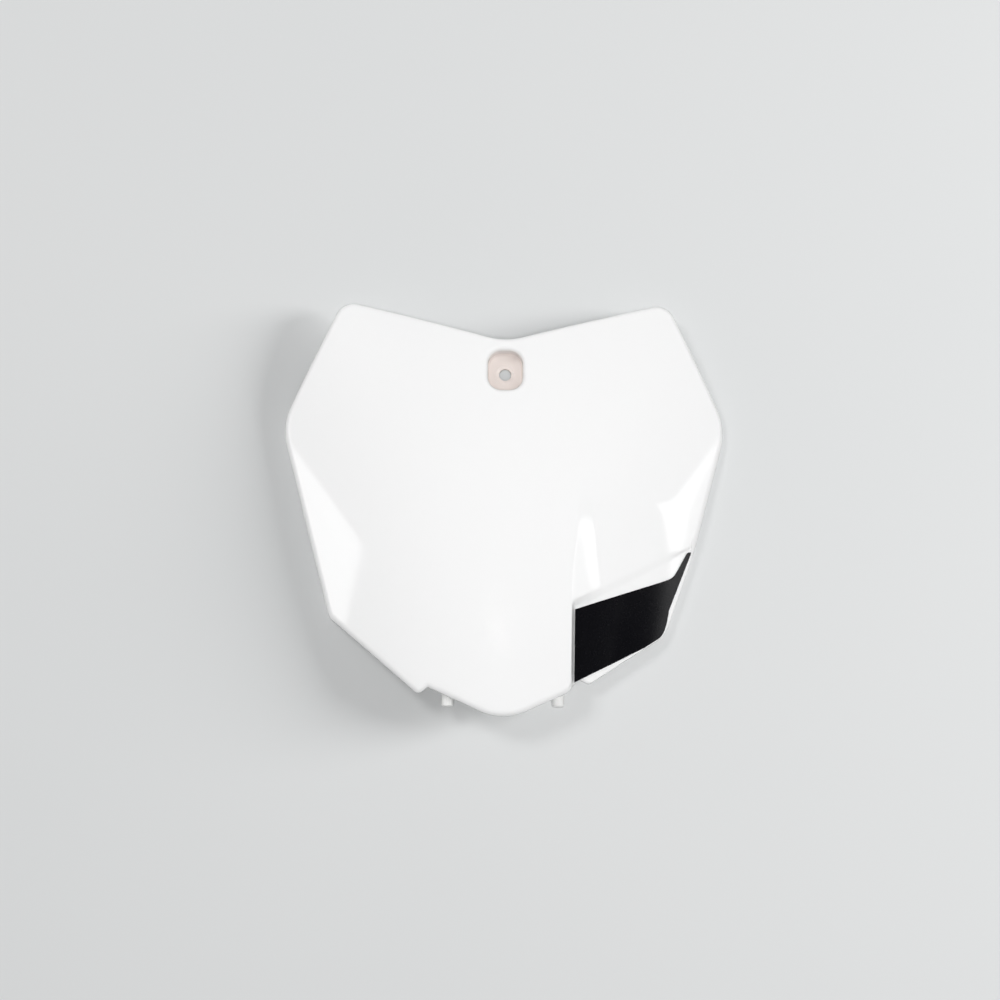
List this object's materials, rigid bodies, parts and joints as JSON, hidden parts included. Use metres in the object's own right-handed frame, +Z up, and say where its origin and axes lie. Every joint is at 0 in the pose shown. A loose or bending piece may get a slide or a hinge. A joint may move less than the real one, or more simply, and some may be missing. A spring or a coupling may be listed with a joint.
{
  "type": "racing number board",
  "caption": "Crowned white front number board with a bolt pocket, two rear pegs and a black panel set in one stepped corner.",
  "frame": {"origin": "middle of the bounding box in plan, on the ground that the board lies on", "axes": "+Z up out of the crowned face, +Y towards the top edge with the bolt pocket, +X to the side with the black panel"},
  "size_m": [0.2424, 0.2268, 0.0322],
  "materials": {
    "white_plastic": "gloss",
    "black_panel": "gloss"
  },
  "bodies": {
    "root": {"number_plate": "white_plastic", "black_panel": "black_panel"}
  },
  "joints": []
}
